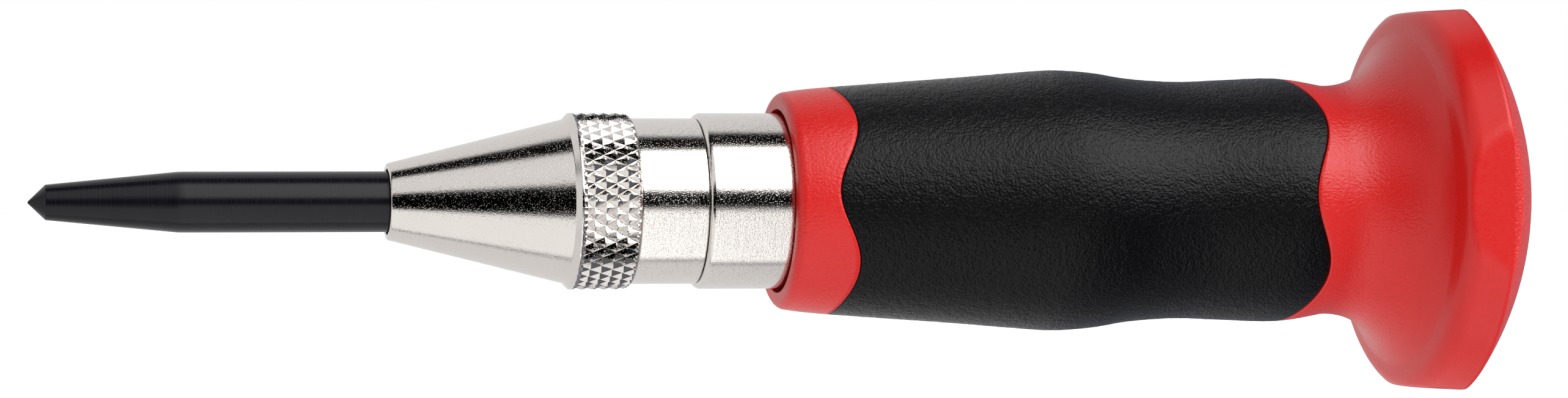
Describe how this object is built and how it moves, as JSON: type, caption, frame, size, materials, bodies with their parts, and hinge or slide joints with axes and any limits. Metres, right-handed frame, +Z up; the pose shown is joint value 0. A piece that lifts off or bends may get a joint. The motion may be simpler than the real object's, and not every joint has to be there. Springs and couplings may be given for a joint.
{
  "type": "automatic center punch",
  "caption": "Spring-loaded center punch: black point, nickel-plated cone nose with a knurled ring, steel barrel, and a red and black handle with a domed palm head.",
  "frame": {"origin": "middle of the tool on its axis, the centre of its bounding box", "axes": "+X along the tool from the tip to the palm dome, +Z up and square to one flat of the head, -Y out of another flat"},
  "size_m": [0.1712, 0.0432, 0.0432],
  "materials": {
    "black_oxide_steel": "blackened tool steel with fine turning lines",
    "satin_nickel": "satin nickel plating, fine turned lines",
    "hardened_steel": "ground and hardened",
    "spring_steel": "oil-tempered spring wire",
    "bronze": "turned bearing bronze",
    "red_plastic": "hard moulded plastic with a fine spark-eroded grain",
    "black_grip": "soft overmoulded plastic with a coarse leather-like grain",
    "seal_rubber": "nitrile rubber",
    "nylon": "natural nylon"
  },
  "bodies": {
    "handle": {"handle_core": "red_plastic", "grip_sleeve": "black_grip", "threaded_insert": "bronze", "barrel_seal": "seal_rubber"},
    "seat": {"spring_seat": "hardened_steel", "thrust_washer": "bronze", "main_spring": "spring_steel"},
    "barrel": {"barrel": "satin_nickel", "nose_sleeve": "satin_nickel", "nose_bushing": "bronze", "nose_seal": "seal_rubber", "thread_brake_ring": "nylon", "steering_ring": "hardened_steel", "buffer_ring": "seal_rubber"},
    "striker": {"hammer": "hardened_steel"},
    "punch": {"punch_point": "black_oxide_steel", "point_snap_ring": "spring_steel", "drive_spindle": "hardened_steel", "return_spring": "spring_steel"},
    "trip": {"trip_rod": "hardened_steel"}
  },
  "joints": [
    {"name": "force_adjust", "type": "hinge", "parent": "handle", "child": "seat", "pos_m": [0.0624, 0, 0], "axis": [1, 0, 0], "range_deg": [-720, 720]},
    {"name": "adjust_travel", "type": "slide", "parent": "seat", "child": "barrel", "axis": [1, 0, 0], "range_m": [-0.003, 0.003]},
    {"name": "punch_stroke", "type": "slide", "parent": "barrel", "child": "punch", "axis": [1, 0, 0], "range_m": [0, 0.01], "stiffness_N_per_m": 8000, "springref_m": -0.002, "deforming": ["return_spring"]},
    {"name": "hammer_slide", "type": "slide", "parent": "barrel", "child": "striker", "axis": [1, 0, 0], "range_m": [0, 0.01], "deforming": ["main_spring"]},
    {"name": "trip_rod_tilt", "type": "hinge", "parent": "punch", "child": "trip", "pos_m": [-0.0171, 0, 0], "axis": [0, 1, 0], "range_deg": [0, 2.2]}
  ],
  "couplings": [
    {"joint": "force_adjust", "follows": "adjust_travel", "rad_per_m": 4188.8},
    {"joint": "hammer_slide", "follows": "punch_stroke", "ratio": 1},
    {"joint": "trip_rod_tilt", "follows": "punch_stroke", "rad_per_m": 3.8397}
  ]
}
